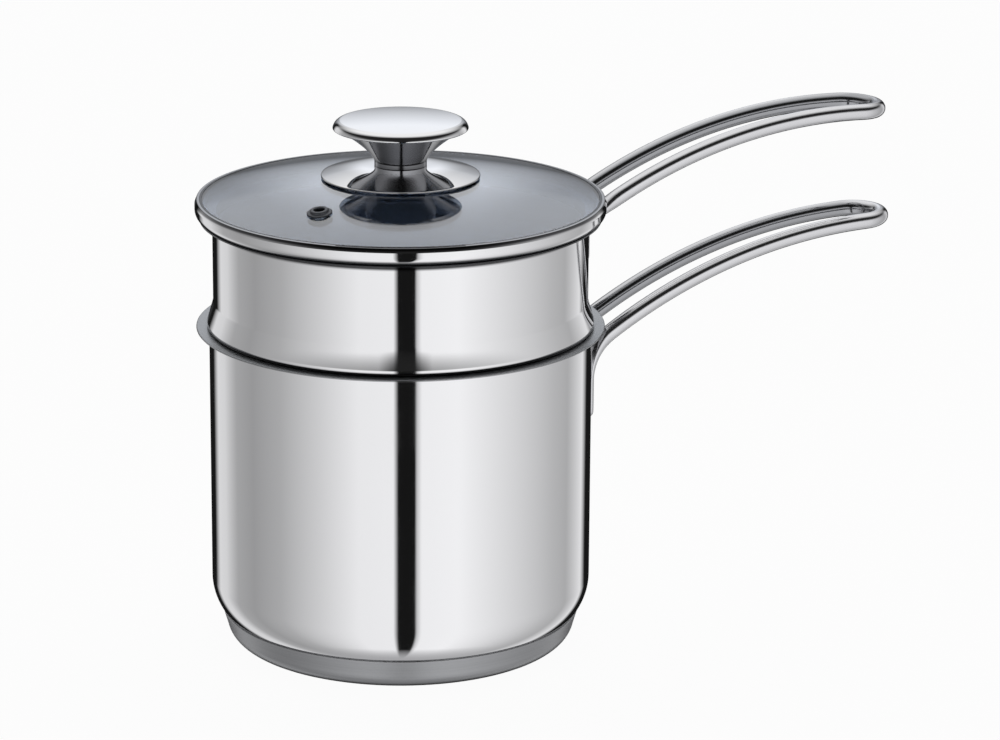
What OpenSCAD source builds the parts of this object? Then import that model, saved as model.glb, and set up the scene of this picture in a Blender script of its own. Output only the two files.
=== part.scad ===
// Stovetop double boiler: a deep lower pan for the water, an insert pan that hangs in it
// by a pressed bead, and a domed glass lid with a steel rim, a steam vent and a knob.
// Millimetres, +Z up. The origin is the centre of the base on the hob.
// Both handles point along +X.

/* [Lower pan] */
// Inside diameter of the lower pan
pan_inner_d = 160; // [140:5:200]
// Height of the lower pan's flange above the hob
pan_h = 138; // [126:1:170]
// Sheet thickness of both pans
sheet_t = 0.8; // [0.6:0.1:1]
// Outside radius of the corner between the pan's wall and its floor
pan_corner_r = 22; // [18:1:28]
// Width of the pouring flange beyond the wall
pan_flange_w = 5.4; // [4:0.2:7]
// Radius of the bend under a flange
flange_bend_r = 0.4; // [0.2:0.1:0.8]

/* [Base] */
// Distance of the flat's edge inside the pan's wall
base_inset = 14.8; // [13:0.2:20]
// Height of the satin capsule that wraps the base
capsule_h = 13.7; // [11:0.1:16]
// Sheet thickness of the capsule
capsule_t = 0.6; // [0.4:0.1:1]
// Radius of the capsule's lower edge
capsule_edge_r = 8.6; // [6:0.2:10]
// Thickness of the heat-spreading disc under the pan's floor
core_t = 5; // [3:0.5:6]

/* [Insert pan] */
// Radial play between the insert and the lower pan
insert_play = 1; // [0.6:0.1:2]
// How deep the insert hangs below the lower pan's flange
insert_hang = 64; // [40:1:80]
// How far the insert's own flange stands above the lower pan's flange
insert_rise = 47; // [47:1:70]
// Outside radius of the insert's bottom corner
insert_corner_r = 20; // [12:1:28]
// How far the bead stands out from the insert's wall
bead_w = 2.7; // [2.3:0.1:3.5]
// Radius of the bead's lower edge
bead_edge_r = 1; // [0.5:0.1:1.2]
// Height of the upright lip over that edge
bead_lip_h = 1; // [0.4:0.1:2.4]
// Height over which the wall leans back above that lip
bead_flank_h = 9.1; // [6:0.1:10]
// Width of the insert's flange beyond its wall
insert_flange_w = 5.4; // [4:0.2:6]
// Gap left where one piece rests on the next
seat_gap = 0.1; // [0.05:0.05:0.2]

/* [Handles] */
// Diameter of the handle rod
rod_d = 7; // [5:0.5:8]
// Distance between the two rods of a handle, centre to centre
rod_spacing = 24; // [20:1:30]
// Width of a flattened foot
foot_w = 12; // [9:0.5:14]
// Length over which a leg turns from its flat foot into the round rod
foot_taper = 22; // [16:1:30]
// Distance of the lower handle's feet below the lower pan's flange
lower_foot_drop = 46.4; // [44:0.2:60]
// Length of the lower handle's feet along the wall
lower_foot_h = 17; // [12:0.2:20]
// Thickness of the lower handle's feet
lower_foot_t = 4.2; // [3:0.2:5]
// Radius of the bend between foot and grip of the lower handle
lower_bend_r = 22; // [12:1:26]
// Radius of the lower handle's arch
lower_arch_r = 238; // [220:1:280]
// Distance of the lower arch's crown from the pan's wall
lower_crown_x = 139.5; // [120:0.5:145]
// Reach of the lower handle's tip from the pan's wall
lower_reach = 148.7; // [130:0.5:160]
// Distance of the insert handle's feet below the insert's flange
upper_foot_drop = 23.6; // [23:0.2:26]
// Length of the insert handle's feet along the wall
upper_foot_h = 11.6; // [8:0.2:12]
// Thickness of the insert handle's feet
upper_foot_t = 3; // [2.4:0.2:4]
// Radius of the bend between foot and grip of the insert handle
upper_bend_r = 8; // [6:1:10]
// Radius of the insert handle's arch
upper_arch_r = 223; // [210:1:260]
// Distance of the insert handle's crown from the insert's wall
upper_crown_x = 122.5; // [110:0.5:130]
// Reach of the insert handle's tip from the insert's wall
upper_reach = 147.4; // [130:0.5:160]

/* [Lid] */
// Outside radius of the lid's rim beyond the insert's wall
lid_overhang = 7.3; // [6.5:0.1:8]
// Sheet thickness of the lid's rim
rim_t = 0.7; // [0.5:0.1:0.8]
// Height of the lid's rim
rim_h = 7.6; // [6.4:0.1:9]
// Width of the lip that holds the glass down
rim_lip_w = 2.1; // [1.9:0.1:2.5]
// Radius of the roll along the rim's lower edge
rim_edge_r = 3.6; // [1:0.1:4.5]
// Height of the sloping shoulder along the rim's upper edge
rim_slope_h = 1.5; // [1:0.1:2]
// Depth of the skirt that centres the lid in the insert
skirt_h = 4.5; // [3:0.5:8]
// Radial play of that skirt in the insert
skirt_play = 0.8; // [0.5:0.1:1.5]
// Thickness of the glass
glass_t = 4; // [3:0.5:4]
// Rise of the glass from its edge to its centre
glass_rise = 10.8; // [8:0.2:14]
// Distance of the steam vent from the lid's centre
vent_r = 59; // [50:1:68]
// Direction of the steam vent, counted from the handles
vent_angle = -146; // [-170:1:-100]
// Outside diameter of the vent's flange
vent_flange_d = 10.6; // [9:0.2:13]
// Diameter of the steam hole
vent_hole_d = 4.4; // [3:0.2:5]

/* [Knob] */
// Diameter of the knob's cap
cap_d = 56.8; // [46:0.2:64]
// Thickness of the cap at its edge
cap_edge_h = 3.6; // [3.6:0.2:6]
// Rise of the cap's top face
cap_rise = 1; // [0.8:0.2:4]
// Diameter of the knob's neck
neck_d = 22; // [20:0.5:26]
// Height of the neck with its flare, up to the cap
neck_h = 15.5; // [12:0.1:20]
// Height of the straight part of the neck
neck_straight_h = 1.8; // [1:0.2:4]
// Diameter of the domed disc under the knob
disc_d = 66.8; // [56:0.2:76]
// Rise of that disc above the top of the glass
disc_rise = 3.6; // [3:0.2:5]
// Gap between the disc's edge and the glass
disc_edge_gap = 0.8; // [0.1:0.1:1.2]
// Sheet thickness of the knob's pieces
knob_t = 0.8; // [0.6:0.1:1]
// Diameter of the knob's screw
screw_d = 5; // [4:0.5:6]
// Clearance between the screw and the holes that it passes
screw_clear = 0.4; // [0.2:0.1:0.6]
// Thickness of the seal and of the washer under the glass
seal_t = 1; // [0.8:0.1:1.5]

/* [Hidden] */

$fn = 96;
// Steps along a rounded edge, a corner and a long curve of an outline
edge_steps = 5;
corner_steps = 10;
curve_steps = 14;
// Sides of the swept handle rod, and its stations along foot, bend, arch and tip
rod_sides = 20;
foot_steps = 6;
bend_steps = 8;
arch_steps = 14;
tip_steps = 16;
// Above 1, draws the stations of the arch towards the foot
arch_spread = 1.3;
// How far a foot is pressed against the wall before it is cut to it
foot_sink = 0.3;
// Sides of the round wall that the feet are cut to
wall_sides = 360;
// Width of a foot's rounded end as a share of the foot, and the share of its length that is rounded
foot_end_share = 0.45;
foot_round_share = 0.25;

steel = [0.80, 0.81, 0.83];
satin = [0.58, 0.59, 0.61];

// Lower pan
pan_r = pan_inner_d / 2 + sheet_t;
pan_floor_z = capsule_t + core_t;
base_flat_r = pan_r - base_inset;
capsule_side_angle = -10;

// Insert
insert_r = pan_inner_d / 2 - insert_play;
insert_bottom_z = pan_h - insert_hang;
insert_seat_z = pan_h + seat_gap;
insert_top_z = pan_h + insert_rise;
bead_fillet_r = 0.6;
flank_z = insert_seat_z + bead_edge_r + bead_lip_h;
flank_power = 1.2;

// Lid
lid_z = insert_top_z + seat_gap;
rim_r = insert_r + lid_overhang;
rim_top_z = lid_z + rim_h;
rim_slope_w = 0.67;
rim_roll_r = 0.4;
skirt_r = insert_r - sheet_t - skirt_play;
glass_inset = 0.4;
glass_r = rim_r - rim_t - glass_inset;
lip_r = rim_r - rim_lip_w;
rim_shelf_w = 4;
lip_t = 0.3;
glass_top_r = (glass_r * glass_r + glass_rise * glass_rise) / (2 * glass_rise);
glass_top_z = rim_top_z - lip_t + glass_z_drop(lip_r);
vent_tilt = asin(vent_r / glass_top_r);
vent_collar_d = 7.6;
vent_collar_h = 1.9;
vent_flange_t = 0.8;
vent_tube_t = 0.9;
vent_clear = 0.05;

// Knob
disc_r = disc_d / 2;
neck_r = neck_d / 2;
cap_r = cap_d / 2;
disc_top_z = glass_top_z + disc_rise;
cap_z = disc_top_z + neck_h;
cap_lip_w = 2.5;
cap_edge_r = 0.5;
cap_side_r = 6;
cap_side_low = 17;
cap_side_high = 29;
cap_crown_low = 82;
cap_side_lean = 0.7;
flare_gap = 0.2;
flare_r = cap_r - cap_lip_w - flare_gap;
flare_power = 1.45;
cap_seat_z = cap_z + knob_t;
neck_flange_r = cap_r - knob_t - flare_gap - cap_side_lean;
gasket_inset = 1;
gasket_r = neck_r - gasket_inset;
seal_gap = 0.02;
washer_r = neck_r;
screw_r = screw_d / 2;
screw_hole_r = screw_r + screw_clear;
thread_clear = 0.05;
core_wall = 3.7;
core_r = screw_r + core_wall;
screw_head_r = screw_d;
screw_head_h = 3;
screw_head_chamfer = 2;
screw_tip_gap = 4;
glass_under_z = glass_top_z - glass_t;
gasket_z = glass_under_z - glass_z_drop(gasket_r) - seal_t - seal_gap;
washer_z = gasket_z - seal_t;
screw_tip_z = cap_z - screw_tip_gap;

// Handles: radius of the wall, height of the feet, their length and thickness, radius of the
// bend, radius of the arch, distances of its crown and of the tip from the wall
lower_grip = [pan_r, pan_h - lower_foot_drop, lower_foot_h, lower_foot_t, lower_bend_r,
    lower_arch_r, lower_crown_x, lower_reach];
upper_grip = [insert_r, insert_top_z - upper_foot_drop, upper_foot_h, upper_foot_t, upper_bend_r,
    upper_arch_r, upper_crown_x, upper_reach];

// Points on an arc about [cx, cy], both ends included
function arc(cx, cy, r, from, to, steps) =
    [for (i = [0:steps]) let (a = from + (to - from) * i / steps) [cx + r * cos(a), cy + r * sin(a)]];

// A list without its first item, for an arc that starts where the last one ended
function tail(list) = [for (i = [1:len(list) - 1]) list[i]];

// Drop of the glass's domed surface at a distance r from its centre
function glass_z_drop(r) = glass_top_r - sqrt(glass_top_r * glass_top_r - r * r);

// A point on the top of the glass
function glass_pt(r, down) = [r, glass_top_z - glass_z_drop(r) - down];

// Smooth step from 0 to 1
function smooth(u) = u * u * (3 - 2 * u);

// Flange of a pan, from the outside of its wall round to the inside
function flange_outline(r, top, width) = concat(
    arc(r + flange_bend_r, top - sheet_t - flange_bend_r, flange_bend_r, 180, 90, edge_steps),
    arc(r + width - sheet_t / 2, top - sheet_t / 2, sheet_t / 2, -90, 90, edge_steps),
    arc(r + flange_bend_r, top - sheet_t - flange_bend_r, flange_bend_r + sheet_t, 90, 180, edge_steps));

// Closed outline of a plain pan
function pan_outline(r, bottom, top, corner_r, width) = concat(
    [[0, bottom]],
    arc(r - corner_r, bottom + corner_r, corner_r, -90, 0, corner_steps),
    flange_outline(r, top, width),
    arc(r - corner_r, bottom + corner_r, corner_r - sheet_t, 0, -90, corner_steps),
    [[0, bottom + sheet_t]]);

// Distance of the flank from the insert's wall at a share of its height
function flank_w(u) = bead_w * pow(1 - u, flank_power);

// Outside of the insert's bead, from below it to the top of its leaning flank
function bead_outside() = concat(
    arc(insert_r + bead_fillet_r, insert_seat_z - bead_fillet_r, bead_fillet_r, 180, 90, edge_steps),
    arc(insert_r + bead_w - bead_edge_r, insert_seat_z + bead_edge_r, bead_edge_r, -90, 0, edge_steps),
    [for (i = [0:curve_steps]) let (u = i / curve_steps)
        [insert_r + flank_w(u), flank_z + bead_flank_h * u]]);

// Inside of the bead, from the top of its flank down to the wall below it
function bead_inside() = concat(
    [for (i = [curve_steps:-1:0]) let (u = i / curve_steps)
        [insert_r - sheet_t + flank_w(u), flank_z + bead_flank_h * u]],
    [[insert_r - sheet_t + bead_w, insert_seat_z + bead_edge_r],
     [insert_r - sheet_t + bead_w - bead_fillet_r, insert_seat_z + sheet_t],
     [insert_r - sheet_t + bead_fillet_r, insert_seat_z + sheet_t],
     [insert_r - sheet_t, insert_seat_z + sheet_t - bead_fillet_r]]);

// Closed outline of the insert pan
function insert_outline() = concat(
    [[0, insert_bottom_z]],
    arc(insert_r - insert_corner_r, insert_bottom_z + insert_corner_r,
        insert_corner_r, -90, 0, corner_steps),
    bead_outside(),
    flange_outline(insert_r, insert_top_z, insert_flange_w),
    bead_inside(),
    arc(insert_r - insert_corner_r, insert_bottom_z + insert_corner_r,
        insert_corner_r - sheet_t, 0, -90, corner_steps),
    [[0, insert_bottom_z + sheet_t]]);

// Outside of the base, shrunk by a sheet thickness, from the axis to the top of the capsule
function base_outline(shrink) = concat(
    [[0, shrink]],
    arc(base_flat_r, capsule_edge_r, capsule_edge_r - shrink, -90, capsule_side_angle, edge_steps),
    [[pan_side_r(capsule_h) + capsule_t - shrink, capsule_h],
     [0, capsule_h]]);

// Radius of the pan's outside at a height within its corner
function pan_side_r(z) = pan_r - pan_corner_r
    + sqrt(pan_corner_r * pan_corner_r - pow(pan_floor_z + pan_corner_r - z, 2));

// Region inside the pan's outer surface, for cutting the pieces under it
function pan_outline_solid() = concat(
    [[0, pan_floor_z]],
    arc(pan_r - pan_corner_r, pan_floor_z + pan_corner_r, pan_corner_r, -90, 0, corner_steps),
    [[pan_r, pan_h], [0, pan_h]]);

// One leg of a handle as stations [place, outward normal, width, thickness], foot first.
// The foot lies on the wall, the bend and the arch share a tangent, and the leg ends
// where the tip's half circle starts.

// Parts of the list that describes a handle
function wall_r(g) = g[0];
function foot_z(g) = g[1];
function foot_h(g) = g[2];
function foot_t(g) = g[3];
function bend_r(g) = g[4];
function arch_r(g) = g[5];
function crown_x(g) = wall_r(g) + g[6];
function tip_x(g) = wall_r(g) + g[7] - rod_d / 2 - rod_spacing / 2;

// Distance of a foot's middle from the pan's axis
function seat_r(g) = wall_r(g) + foot_t(g) / 2 - foot_sink;

function lean_angle(g) = asin(rod_spacing / 2 / seat_r(g));

function leg_x(g) = seat_r(g) * cos(lean_angle(g));

function rise_angle(g) = asin((crown_x(g) - leg_x(g) - bend_r(g)) / (arch_r(g) - bend_r(g)));

function arch_z(g) = foot_z(g) + foot_h(g) - (arch_r(g) - bend_r(g)) * cos(rise_angle(g));

function arch_start_x(g) = crown_x(g) - arch_r(g) * sin(rise_angle(g));

// Width and thickness of a leg at a distance past the top of its foot
function section(g, past) =
    let (f = smooth(min(past / foot_taper, 1)))
    [foot_w + (rod_d - foot_w) * f, foot_t(g) + (rod_d - foot_t(g)) * f];

function foot_stations(g, side) =
    let (a = lean_angle(g) * side)
    [for (i = [0:foot_steps]) let (u = i / foot_steps,
        rounded = sqrt(1 - pow(1 - min(u / foot_round_share, 1), 2)),
        rounding = foot_end_share + (1 - foot_end_share) * rounded)
        [[seat_r(g) * cos(a), seat_r(g) * sin(a), foot_z(g) + foot_h(g) * u],
         [-cos(a), -sin(a), 0], foot_w * rounding, foot_t(g)]];

function bend_stations(g, side) =
    let (swept = 90 - rise_angle(g), lean = lean_angle(g),
        cx = leg_x(g) + bend_r(g), cz = foot_z(g) + foot_h(g))
    [for (i = [1:bend_steps]) let (u = i / bend_steps,
        a = 180 - swept * u, turn = lean * side * (1 - u),
        size = section(g, bend_r(g) * swept * u * PI / 180))
        [[cx + bend_r(g) * cos(a), side * rod_spacing / 2, cz + bend_r(g) * sin(a)],
         [cos(a) * cos(turn), cos(a) * sin(turn), sin(a)], size[0], size[1]]];

function arch_station(g, x, y, size) =
    let (run = x - crown_x(g), h = sqrt(arch_r(g) * arch_r(g) - run * run))
    [[x, y, arch_z(g) + h], [run / arch_r(g), 0, h / arch_r(g)], size[0], size[1]];

// Stations along the arch lie closer together near the foot, where the section changes
function arch_stations(g, side) =
    let (x0 = arch_start_x(g), x1 = tip_x(g), bent = bend_r(g) * (90 - rise_angle(g)) * PI / 180)
    [for (i = [1:arch_steps]) let (x = x0 + (x1 - x0) * pow(i / arch_steps, arch_spread),
        along = norm([x - x0, (x - x0) * tan(rise_angle(g))]))
        arch_station(g, x, side * rod_spacing / 2, section(g, bent + along))];

function tip_stations(g) =
    [for (i = [1:tip_steps - 1]) let (a = -90 + 180 * i / tip_steps)
        arch_station(g, tip_x(g) + rod_spacing / 2 * cos(a), rod_spacing / 2 * sin(a), [rod_d, rod_d])];

function leg_stations(g, side) = concat(
    foot_stations(g, side), bend_stations(g, side), arch_stations(g, side));

function reversed(list) = [for (i = [len(list) - 1:-1:0]) list[i]];

function unit(v) = v / norm(v);

// Ring of points round one station of a sweep
function station_ring(stations, i) =
    let (last = len(stations) - 1, s = stations[i],
        along = unit(stations[min(i + 1, last)][0] - stations[max(i - 1, 0)][0]),
        across = unit(cross(s[1], along)),
        out = cross(along, across))
    [for (k = [0:rod_sides - 1]) let (a = 360 * k / rod_sides)
        s[0] + across * s[2] / 2 * cos(a) + out * s[3] / 2 * sin(a)];

// Closed tube through a list of stations
module swept_rod(stations) {
    count = len(stations);
    points = [for (i = [0:count - 1]) each station_ring(stations, i)];
    walls = [for (i = [0:count - 2], k = [0:rod_sides - 1])
        let (a = i * rod_sides + k, b = i * rod_sides + (k + 1) % rod_sides)
        each [[a, a + rod_sides, b], [b, a + rod_sides, b + rod_sides]]];
    start_cap = [[for (k = [0:rod_sides - 1]) k]];
    end_cap = [[for (k = [rod_sides - 1:-1:0]) (count - 1) * rod_sides + k]];
    polyhedron(points = points, faces = concat(walls, start_cap, end_cap));
}

// Wire handle: foot, leg, round tip, leg, foot, with each foot cut to the wall that it is welded to
module wire_handle(g) {
    difference() {
        swept_rod(concat(leg_stations(g, -1), tip_stations(g), reversed(leg_stations(g, 1))));
        translate([0, 0, foot_z(g) - foot_h(g)])
            cylinder(r = wall_r(g), h = 3 * foot_h(g), $fn = wall_sides);
    }
}

// Pressed steel shell of the lower pan
module lower_pan_shell() {
    color(steel)
        rotate_extrude()
            polygon(pan_outline(pan_r, pan_floor_z, pan_h, pan_corner_r, pan_flange_w));
}

// Aluminium disc that fills the space between the pan's floor and the capsule
module base_core() {
    color("silver")
        rotate_extrude()
            difference() {
                polygon(base_outline(capsule_t));
                polygon(pan_outline_solid());
            }
}

// Satin steel capsule pressed over the heat-spreading disc
module base_capsule() {
    color(satin)
        rotate_extrude()
            difference() {
                polygon(base_outline(0));
                polygon(base_outline(capsule_t));
                polygon(pan_outline_solid());
            }
}

// Wire handle of the lower pan
module lower_handle() {
    color(steel)
        wire_handle(lower_grip);
}

// Pressed steel shell of the insert pan with its bead
module insert_shell() {
    color(steel)
        rotate_extrude()
            polygon(insert_outline());
}

// Wire handle of the insert pan
module insert_handle() {
    color(steel)
        wire_handle(upper_grip);
}

// Places something on the glass at the steam vent, square to the glass
module at_vent() {
    rotate([0, 0, vent_angle])
        translate([0, 0, glass_top_z - glass_top_r])
            rotate([0, vent_tilt, 0])
                translate([0, 0, glass_top_r])
                    children();
}

// Domed glass with holes for the knob's screw and the steam vent
module lid_glass() {
    top = [for (i = [0:curve_steps]) glass_pt(lip_r * i / curve_steps, 0)];
    under = [for (i = [curve_steps:-1:0]) glass_pt(lip_r * i / curve_steps, glass_t)];
    color([0.78, 0.84, 0.88, 0.5])
        difference() {
            rotate_extrude()
                polygon(concat(top, [glass_pt(glass_r, 0), glass_pt(glass_r, glass_t)], under));
            translate([0, 0, glass_under_z - glass_t])
                cylinder(r = screw_hole_r, h = 3 * glass_t);
            at_vent()
                translate([0, 0, -2 * glass_t])
                    cylinder(d = vent_hole_d + 2 * vent_tube_t + 2 * vent_clear, h = 3 * glass_t);
        }
}

// Rolled steel rim that holds the glass, rests on the insert and centres the lid with a skirt
module lid_rim() {
    shelf_r = glass_r - rim_shelf_w;
    shelf_z = glass_pt(glass_r, glass_t)[1];
    roll_z = rim_top_z - rim_roll_r;
    slope_angle = atan(rim_slope_w / rim_slope_h);
    color(steel)
        rotate_extrude()
            polygon(concat(
                [[skirt_r - rim_t, lid_z - skirt_h], [skirt_r, lid_z - skirt_h], [skirt_r, lid_z]],
                arc(rim_r - rim_edge_r, lid_z + rim_edge_r, rim_edge_r, -90, 0, corner_steps),
                [[rim_r, roll_z - rim_slope_h]],
                arc(rim_r - rim_slope_w - rim_roll_r, roll_z, rim_roll_r, slope_angle, 90, edge_steps),
                [[lip_r, rim_top_z], glass_pt(lip_r, 0), glass_pt(glass_r, 0), [glass_r, shelf_z],
                 [shelf_r, shelf_z], [shelf_r, lid_z + rim_t], [skirt_r - rim_t, lid_z + rim_t]]));
}

// Steel eyelet clinched through the glass as a steam vent
module vent_eyelet() {
    hole_r = vent_hole_d / 2;
    tube_r = hole_r + vent_tube_t;
    flange_r = vent_flange_d / 2;
    collar_r = vent_collar_d / 2;
    clinch_r = tube_r + vent_tube_t;
    clinch_top = -glass_t - vent_clear;
    clinch_low = clinch_top - vent_flange_t;
    flange_top = vent_clear + vent_flange_t;
    edge = vent_flange_t / 2;
    color(steel)
        at_vent()
            rotate_extrude()
                polygon([[hole_r, clinch_low], [clinch_r, clinch_low], [clinch_r, clinch_top],
                    [tube_r, clinch_top], [tube_r, vent_clear], [flange_r, vent_clear],
                    [flange_r, flange_top - edge], [flange_r - edge, flange_top],
                    [collar_r, flange_top], [collar_r, vent_collar_h - edge],
                    [collar_r - edge, vent_collar_h], [hole_r, vent_collar_h]]);
}

// Domed steel disc between the glass and the neck
module knob_disc() {
    edge_z = glass_pt(disc_r - knob_t / 2, 0)[1] + disc_edge_gap;
    rise = disc_top_z - edge_z;
    run = disc_r - neck_r;
    top = [for (i = [0:curve_steps]) let (u = i / curve_steps)
        [disc_r - run * u, edge_z + knob_t + (rise - knob_t) * sin(90 * u)]];
    under = [for (i = [curve_steps:-1:0]) let (u = i / curve_steps)
        [disc_r - knob_t / 2 - run * u, edge_z + (rise - knob_t) * sin(90 * u)]];
    color(steel)
        rotate_extrude()
            polygon(concat(
                [[disc_r, edge_z]],
                top,
                [[screw_hole_r, disc_top_z], [screw_hole_r, disc_top_z - knob_t]],
                under));
}

// Hollow neck that flares out to the cap, with a floor for the screw
module knob_neck() {
    outside = [for (i = [0:curve_steps]) let (u = i / curve_steps)
        [neck_r + (flare_r - neck_r) * pow(u, flare_power),
         disc_top_z + neck_straight_h + (neck_h - neck_straight_h) * u]];
    inside = [for (i = [curve_steps:-1:0]) let (u = i / curve_steps)
        [neck_r - knob_t + (flare_r - neck_r) * pow(u, flare_power),
         disc_top_z + neck_straight_h + knob_t / 2 + (neck_h - neck_straight_h) * u]];
    color(steel)
        rotate_extrude()
            polygon(concat(
                [[screw_hole_r, disc_top_z], [neck_r, disc_top_z]],
                outside,
                [[flare_r, cap_seat_z], [neck_flange_r, cap_seat_z], [neck_flange_r, cap_seat_z + knob_t],
                 [flare_r - knob_t, cap_seat_z + knob_t]],
                inside,
                [[neck_r - knob_t, disc_top_z + knob_t], [screw_hole_r, disc_top_z + knob_t]]));
}

// Shallow domed cap whose rolled edge grips the flare of the neck. Its side leans inwards,
// then turns in a wider shoulder to the crown.
module knob_cap() {
    low_dir = [cos(cap_side_low), sin(cap_side_low)];
    high_dir = [cos(cap_side_high), sin(cap_side_high)];
    top_z = cap_z + cap_edge_h;
    side_c = [cap_r - cap_edge_r, cap_z + cap_edge_r] + (cap_edge_r - cap_side_r) * low_dir;
    knee = side_c + cap_side_r * high_dir;
    shoulder_r = (top_z - knee[1]) / (sin(cap_crown_low) - sin(cap_side_high));
    shoulder_c = knee - shoulder_r * high_dir;
    edge_x = shoulder_c[0] + shoulder_r * cos(cap_crown_low);
    side_seat = asin((cap_seat_z - side_c[1]) / (cap_side_r - knob_t));
    dome = [for (i = [1:curve_steps]) let (u = i / curve_steps)
        [edge_x * (1 - u), top_z + cap_rise * (1 - pow(1 - u, 2))]];
    dome_under = [for (i = [curve_steps:-1:1]) let (u = i / curve_steps)
        [edge_x * (1 - u), top_z - knob_t + cap_rise * (1 - pow(1 - u, 2))]];
    color(steel)
        rotate_extrude()
            polygon(concat(
                [[cap_r - cap_lip_w, cap_z]],
                arc(cap_r - cap_edge_r, cap_z + cap_edge_r, cap_edge_r, -90, cap_side_low, edge_steps),
                tail(arc(side_c[0], side_c[1], cap_side_r, cap_side_low, cap_side_high, edge_steps)),
                tail(arc(shoulder_c[0], shoulder_c[1], shoulder_r, cap_side_high, cap_crown_low,
                    corner_steps)),
                dome,
                dome_under,
                arc(shoulder_c[0], shoulder_c[1], shoulder_r - knob_t, cap_crown_low, cap_side_high,
                    corner_steps),
                tail(arc(side_c[0], side_c[1], cap_side_r - knob_t, cap_side_high, side_seat,
                    edge_steps)),
                [[cap_r - cap_lip_w, cap_seat_z]]));
}

// Threaded boss inside the neck that takes the screw
module knob_core() {
    color("silver")
        translate([0, 0, disc_top_z + knob_t])
            difference() {
                cylinder(r = core_r, h = neck_h - 2 * knob_t);
                cylinder(r = screw_r + thread_clear, h = neck_h);
            }
}

// Screw that clamps disc, gaskets, glass and knob together from below
module knob_screw() {
    low = washer_z - screw_head_h;
    color(satin)
        rotate_extrude()
            polygon([[0, low], [screw_head_r - screw_head_chamfer, low],
                [screw_head_r, low + screw_head_chamfer], [screw_head_r, washer_z],
                [screw_r, washer_z], [screw_r, screw_tip_z], [0, screw_tip_z]]);
}

// Flat ring with a hole for the screw
module ring(r, z, h) {
    translate([0, 0, z])
        difference() {
            cylinder(r = r, h = h);
            translate([0, 0, -h])
                cylinder(r = screw_hole_r, h = 3 * h);
        }
}

// Steel washer between the screw's head and the lower gasket
module screw_washer() {
    color(satin)
        ring(washer_r, washer_z, seal_t);
}

// Silicone ring between the glass and the domed disc
module upper_gasket() {
    color("dimgray")
        ring(gasket_r, glass_top_z, disc_rise - knob_t);
}

// Silicone ring between the washer and the glass
module lower_gasket() {
    color("dimgray")
        ring(gasket_r, gasket_z, seal_t);
}

lower_pan_shell();
base_core();
base_capsule();
lower_handle();
insert_shell();
insert_handle();
lid_glass();
lid_rim();
vent_eyelet();
knob_disc();
knob_neck();
knob_cap();
knob_core();
knob_screw();
screw_washer();
upper_gasket();
lower_gasket();
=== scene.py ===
import bpy
import math
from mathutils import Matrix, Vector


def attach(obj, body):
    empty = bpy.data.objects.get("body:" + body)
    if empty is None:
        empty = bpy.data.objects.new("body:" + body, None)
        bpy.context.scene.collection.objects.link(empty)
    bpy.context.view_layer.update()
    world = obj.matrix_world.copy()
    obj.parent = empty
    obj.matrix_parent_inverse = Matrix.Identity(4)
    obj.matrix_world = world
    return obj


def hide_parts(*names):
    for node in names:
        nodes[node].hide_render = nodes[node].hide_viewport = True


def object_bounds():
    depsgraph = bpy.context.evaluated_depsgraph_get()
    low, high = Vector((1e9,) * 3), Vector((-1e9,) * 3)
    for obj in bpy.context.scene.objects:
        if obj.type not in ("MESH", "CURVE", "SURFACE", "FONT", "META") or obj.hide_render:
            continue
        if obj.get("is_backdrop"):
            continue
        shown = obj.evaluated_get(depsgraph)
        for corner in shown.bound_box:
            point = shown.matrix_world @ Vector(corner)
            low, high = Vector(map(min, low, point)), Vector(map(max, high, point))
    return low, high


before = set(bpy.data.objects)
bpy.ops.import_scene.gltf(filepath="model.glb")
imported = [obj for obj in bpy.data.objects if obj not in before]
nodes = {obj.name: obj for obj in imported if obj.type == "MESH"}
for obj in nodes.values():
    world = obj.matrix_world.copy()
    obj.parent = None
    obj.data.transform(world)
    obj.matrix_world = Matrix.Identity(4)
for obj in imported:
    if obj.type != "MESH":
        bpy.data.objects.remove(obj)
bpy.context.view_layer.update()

# Lower pan
# Deep drawn stainless steel, about 0.8 mm thick, turned out at the top to a flat pouring
# flange and polished to a mirror on a lathe. It stands on the base capsule and holds water.


def bend(centre_r, centre_z, radius, start, end, steps):
    """Points (radius, height) in millimetres along a bend of sheet metal, both ends included.

    The angles start and end are in degrees, 0 pointing outwards and 90 pointing up.
    """
    points = []
    for i in range(steps + 1):
        a = math.radians(start + (end - start) * i / steps)
        points.append((centre_r + radius * math.cos(a), centre_z + radius * math.sin(a)))
    return points


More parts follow.
